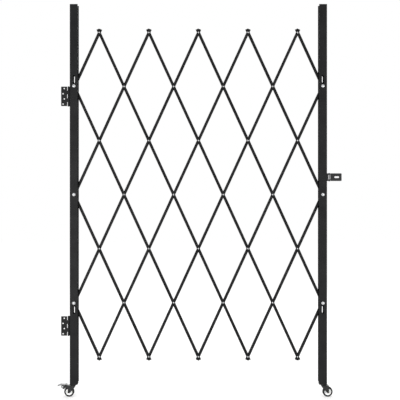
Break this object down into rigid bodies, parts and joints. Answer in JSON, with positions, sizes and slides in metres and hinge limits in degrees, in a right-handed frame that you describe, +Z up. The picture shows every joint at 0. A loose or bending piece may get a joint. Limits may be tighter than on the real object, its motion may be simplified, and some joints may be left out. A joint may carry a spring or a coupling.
{
  "type": "folding scissor gate",
  "caption": "Folding steel scissor gate: a riveted lattice of channel bars between channel posts, with butt hinges, a hinged padlock hasp and swivel casters.",
  "frame": {"origin": "on the floor, under the middle of the gate's outer box", "axes": "+X from the hinged post to the post with the hasp, +Y from the gate's front to its back, +Z up"},
  "size_m": [1.436, 0.0454, 1.981],
  "materials": {
    "left_post": "black satin powder coat",
    "left_upper_pivot_bolt": "bright zinc plate",
    "left_upper_pivot_nut": "bright zinc plate",
    "left_middle_pivot_bolt": "bright zinc plate",
    "left_middle_pivot_nut": "bright zinc plate",
    "left_lower_pivot_bolt": "bright zinc plate",
    "left_lower_pivot_nut": "bright zinc plate",
    "right_post": "black satin powder coat",
    "right_upper_pivot_bolt": "bright zinc plate",
    "right_upper_pivot_nut": "bright zinc plate",
    "right_middle_pivot_bolt": "bright zinc plate",
    "right_middle_pivot_nut": "bright zinc plate",
    "right_lower_pivot_bolt": "bright zinc plate",
    "right_lower_pivot_nut": "bright zinc plate",
    "front_bar_1": "black satin powder coat",
    "rear_bar_1": "black satin powder coat",
    "front_bar_2": "black satin powder coat",
    "rear_bar_2": "black satin powder coat",
    "front_bar_3": "black satin powder coat",
    "rear_bar_3": "black satin powder coat",
    "front_bar_4": "black satin powder coat",
    "rear_bar_4": "black satin powder coat",
    "front_bar_5": "black satin powder coat",
    "rear_bar_5": "black satin powder coat",
    "front_bar_6": "black satin powder coat",
    "rear_bar_6": "black satin powder coat",
    "front_bar_7": "black satin powder coat",
    "rear_bar_7": "black satin powder coat",
    "front_bar_8": "black satin powder coat",
    "rear_bar_8": "black satin powder coat",
    "upper_wall_leaf": "black satin powder coat",
    "upper_gate_leaf": "black satin powder coat",
    "upper_hinge_pin": "black satin powder coat",
    "lower_wall_leaf": "black satin powder coat",
    "lower_gate_leaf": "black satin powder coat",
    "lower_hinge_pin": "black satin powder coat",
    "hasp_base": "black satin powder coat",
    "hasp_strap": "black satin powder coat",
    "hasp_pin": "black satin powder coat",
    "left_caster_plate": "black satin powder coat",
    "left_swivel_race": "black satin powder coat",
    "left_kingpin": "bright zinc plate",
    "left_fork": "black satin powder coat",
    "left_wheel_core": "moulded off-white nylon",
    "left_tyre": "matt black rubber",
    "left_axle_bolt": "black plated steel",
    "left_axle_nut": "black plated steel",
    "brake_pedal": "black satin powder coat",
    "brake_pin": "bright zinc plate",
    "right_caster_plate": "black satin powder coat",
    "right_swivel_race": "black satin powder coat",
    "right_kingpin": "bright zinc plate",
    "right_fork": "black satin powder coat",
    "right_wheel_core": "moulded off-white nylon",
    "right_tyre": "matt black rubber",
    "right_axle_bolt": "black plated steel",
    "right_axle_nut": "black plated steel"
  },
  "bodies": {
    "wall_leaves": {"upper_wall_leaf": "upper_wall_leaf", "lower_wall_leaf": "lower_wall_leaf"},
    "left_post": {"left_post": "left_post", "upper_gate_leaf": "upper_gate_leaf", "lower_gate_leaf": "lower_gate_leaf", "upper_hinge_pin": "upper_hinge_pin", "lower_hinge_pin": "lower_hinge_pin", "left_middle_pivot_bolt": "left_middle_pivot_bolt", "left_middle_pivot_nut": "left_middle_pivot_nut", "left_caster_plate": "left_caster_plate", "left_swivel_race": "left_swivel_race", "left_kingpin": "left_kingpin"},
    "right_post": {"right_post": "right_post", "right_middle_pivot_bolt": "right_middle_pivot_bolt", "right_middle_pivot_nut": "right_middle_pivot_nut", "hasp_base": "hasp_base", "hasp_pin": "hasp_pin", "right_caster_plate": "right_caster_plate", "right_swivel_race": "right_swivel_race", "right_kingpin": "right_kingpin"},
    "hasp_strap": {"hasp_strap": "hasp_strap"},
    "left_fork": {"left_fork": "left_fork", "left_axle_bolt": "left_axle_bolt", "left_axle_nut": "left_axle_nut", "brake_pin": "brake_pin"},
    "right_fork": {"right_fork": "right_fork", "right_axle_bolt": "right_axle_bolt", "right_axle_nut": "right_axle_nut"},
    "left_wheel": {"left_wheel_core": "left_wheel_core", "left_tyre": "left_tyre"},
    "right_wheel": {"right_wheel_core": "right_wheel_core", "right_tyre": "right_tyre"},
    "brake_pedal": {"brake_pedal": "brake_pedal"},
    "front_bar_1": {"front_bar_1": "front_bar_1", "left_lower_pivot_bolt": "left_lower_pivot_bolt", "left_lower_pivot_nut": "left_lower_pivot_nut"},
    "rear_bar_1": {"rear_bar_1": "rear_bar_1"},
    "front_bar_2": {"front_bar_2": "front_bar_2"},
    "rear_bar_2": {"rear_bar_2": "rear_bar_2"},
    "front_bar_3": {"front_bar_3": "front_bar_3", "left_upper_pivot_bolt": "left_upper_pivot_bolt", "left_upper_pivot_nut": "left_upper_pivot_nut"},
    "rear_bar_3": {"rear_bar_3": "rear_bar_3"},
    "front_bar_4": {"front_bar_4": "front_bar_4"},
    "rear_bar_4": {"rear_bar_4": "rear_bar_4"},
    "front_bar_5": {"front_bar_5": "front_bar_5"},
    "rear_bar_5": {"rear_bar_5": "rear_bar_5"},
    "front_bar_6": {"front_bar_6": "front_bar_6", "right_lower_pivot_bolt": "right_lower_pivot_bolt", "right_lower_pivot_nut": "right_lower_pivot_nut"},
    "rear_bar_6": {"rear_bar_6": "rear_bar_6"},
    "front_bar_7": {"front_bar_7": "front_bar_7"},
    "rear_bar_7": {"rear_bar_7": "rear_bar_7"},
    "front_bar_8": {"front_bar_8": "front_bar_8", "right_upper_pivot_bolt": "right_upper_pivot_bolt", "right_upper_pivot_nut": "right_upper_pivot_nut"},
    "rear_bar_8": {"rear_bar_8": "rear_bar_8"}
  },
  "joints": [
    {"name": "gate_swing", "type": "hinge", "parent": "wall_leaves", "child": "left_post", "pos_m": [-0.66031, -0.01775, 1.0215], "axis": [0, 0, 1], "range_deg": [-90, 90]},
    {"name": "lattice_fold", "type": "hinge", "parent": "left_post", "child": "rear_bar_2", "pos_m": [-0.63401, 0.00025, 1.0215], "axis": [0, -1, 0], "range_deg": [0, 16.4]},
    {"name": "front_bar_2_fold", "type": "hinge", "parent": "left_post", "child": "front_bar_2", "pos_m": [-0.63401, 0.00025, 1.0215], "axis": [0, -1, 0], "range_deg": [-16.4, 0]},
    {"name": "front_bar_3_fold", "type": "hinge", "parent": "rear_bar_2", "child": "front_bar_3", "pos_m": [-0.50857, 0.00025, 1.29511], "axis": [0, -1, 0], "range_deg": [-32.8, 0]},
    {"name": "front_bar_4_fold", "type": "hinge", "parent": "rear_bar_2", "child": "front_bar_4", "pos_m": [-0.38312, 0.00025, 1.56873], "axis": [0, -1, 0], "range_deg": [-32.8, 0]},
    {"name": "front_bar_5_fold", "type": "hinge", "parent": "rear_bar_2", "child": "front_bar_5", "pos_m": [-0.25768, 0.00025, 1.84234], "axis": [0, -1, 0], "range_deg": [-32.8, 0]},
    {"name": "rear_bar_3_fold", "type": "hinge", "parent": "front_bar_2", "child": "rear_bar_3", "pos_m": [-0.50857, 0.00025, 0.74789], "axis": [0, -1, 0], "range_deg": [0, 32.8]},
    {"name": "rear_bar_4_fold", "type": "hinge", "parent": "front_bar_2", "child": "rear_bar_4", "pos_m": [-0.38312, 0.00025, 0.47427], "axis": [0, -1, 0], "range_deg": [0, 32.8]},
    {"name": "rear_bar_5_fold", "type": "hinge", "parent": "front_bar_2", "child": "rear_bar_5", "pos_m": [-0.25768, 0.00025, 0.20066], "axis": [0, -1, 0], "range_deg": [0, 32.8]},
    {"name": "front_bar_1_fold", "type": "hinge", "parent": "rear_bar_4", "child": "front_bar_1", "pos_m": [-0.50857, 0.00025, 0.20066], "axis": [0, -1, 0], "range_deg": [-32.8, 0]},
    {"name": "rear_bar_1_fold", "type": "hinge", "parent": "front_bar_4", "child": "rear_bar_1", "pos_m": [-0.50857, 0.00025, 1.84234], "axis": [0, -1, 0], "range_deg": [0, 32.8]},
    {"name": "rear_bar_6_fold", "type": "hinge", "parent": "front_bar_5", "child": "rear_bar_6", "pos_m": [0.2441, 0.00025, 0.74789], "axis": [0, -1, 0], "range_deg": [0, 32.8]},
    {"name": "rear_bar_7_fold", "type": "hinge", "parent": "front_bar_5", "child": "rear_bar_7", "pos_m": [0.36954, 0.00025, 0.47427], "axis": [0, -1, 0], "range_deg": [0, 32.8]},
    {"name": "rear_bar_8_fold", "type": "hinge", "parent": "front_bar_5", "child": "rear_bar_8", "pos_m": [0.49498, 0.00025, 0.20066], "axis": [0, -1, 0], "range_deg": [0, 32.8]},
    {"name": "front_bar_6_fold", "type": "hinge", "parent": "rear_bar_5", "child": "front_bar_6", "pos_m": [0.2441, 0.00025, 1.29511], "axis": [0, -1, 0], "range_deg": [-32.8, 0]},
    {"name": "front_bar_7_fold", "type": "hinge", "parent": "rear_bar_5", "child": "front_bar_7", "pos_m": [0.36954, 0.00025, 1.56873], "axis": [0, -1, 0], "range_deg": [-32.8, 0]},
    {"name": "front_bar_8_fold", "type": "hinge", "parent": "rear_bar_5", "child": "front_bar_8", "pos_m": [0.49498, 0.00025, 1.84234], "axis": [0, -1, 0], "range_deg": [-32.8, 0]},
    {"name": "right_post_fold", "type": "hinge", "parent": "rear_bar_7", "child": "right_post", "pos_m": [0.62043, 0.00025, 1.0215], "axis": [0, -1, 0], "range_deg": [-16.4, 0]},
    {"name": "hasp_swing", "type": "hinge", "parent": "right_post", "child": "hasp_strap", "pos_m": [0.65573, 0.00025, 1.1096], "axis": [0, 0, 1], "range_deg": [-110, 110]},
    {"name": "left_caster_swivel", "type": "hinge", "parent": "left_post", "child": "left_fork", "pos_m": [-0.64101, 0.00025, 0.0571], "axis": [0, 0, 1], "continuous": true},
    {"name": "left_wheel_roll", "type": "hinge", "parent": "left_fork", "child": "left_wheel", "pos_m": [-0.66001, 0.00025, 0.0255], "axis": [0, 1, 0], "continuous": true},
    {"name": "right_caster_swivel", "type": "hinge", "parent": "right_post", "child": "right_fork", "pos_m": [0.62743, 0.00025, 0.0571], "axis": [0, 0, 1], "continuous": true},
    {"name": "right_wheel_roll", "type": "hinge", "parent": "right_fork", "child": "right_wheel", "pos_m": [0.64643, 0.00025, 0.0255], "axis": [0, 1, 0], "continuous": true},
    {"name": "brake_tilt", "type": "hinge", "parent": "left_fork", "child": "brake_pedal", "pos_m": [-0.69103, 0.00025, 0.0517], "axis": [0, -1, 0], "range_deg": [0, 18]}
  ],
  "couplings": [
    {"joint": "front_bar_2_fold", "follows": "lattice_fold", "ratio": -1},
    {"joint": "front_bar_3_fold", "follows": "lattice_fold", "ratio": -2},
    {"joint": "front_bar_4_fold", "follows": "lattice_fold", "ratio": -2},
    {"joint": "front_bar_5_fold", "follows": "lattice_fold", "ratio": -2},
    {"joint": "rear_bar_3_fold", "follows": "lattice_fold", "ratio": 2},
    {"joint": "rear_bar_4_fold", "follows": "lattice_fold", "ratio": 2},
    {"joint": "rear_bar_5_fold", "follows": "lattice_fold", "ratio": 2},
    {"joint": "front_bar_1_fold", "follows": "lattice_fold", "ratio": -2},
    {"joint": "rear_bar_1_fold", "follows": "lattice_fold", "ratio": 2},
    {"joint": "rear_bar_6_fold", "follows": "lattice_fold", "ratio": 2},
    {"joint": "rear_bar_7_fold", "follows": "lattice_fold", "ratio": 2},
    {"joint": "rear_bar_8_fold", "follows": "lattice_fold", "ratio": 2},
    {"joint": "front_bar_6_fold", "follows": "lattice_fold", "ratio": -2},
    {"joint": "front_bar_7_fold", "follows": "lattice_fold", "ratio": -2},
    {"joint": "front_bar_8_fold", "follows": "lattice_fold", "ratio": -2},
    {"joint": "right_post_fold", "follows": "lattice_fold", "ratio": -1}
  ]
}
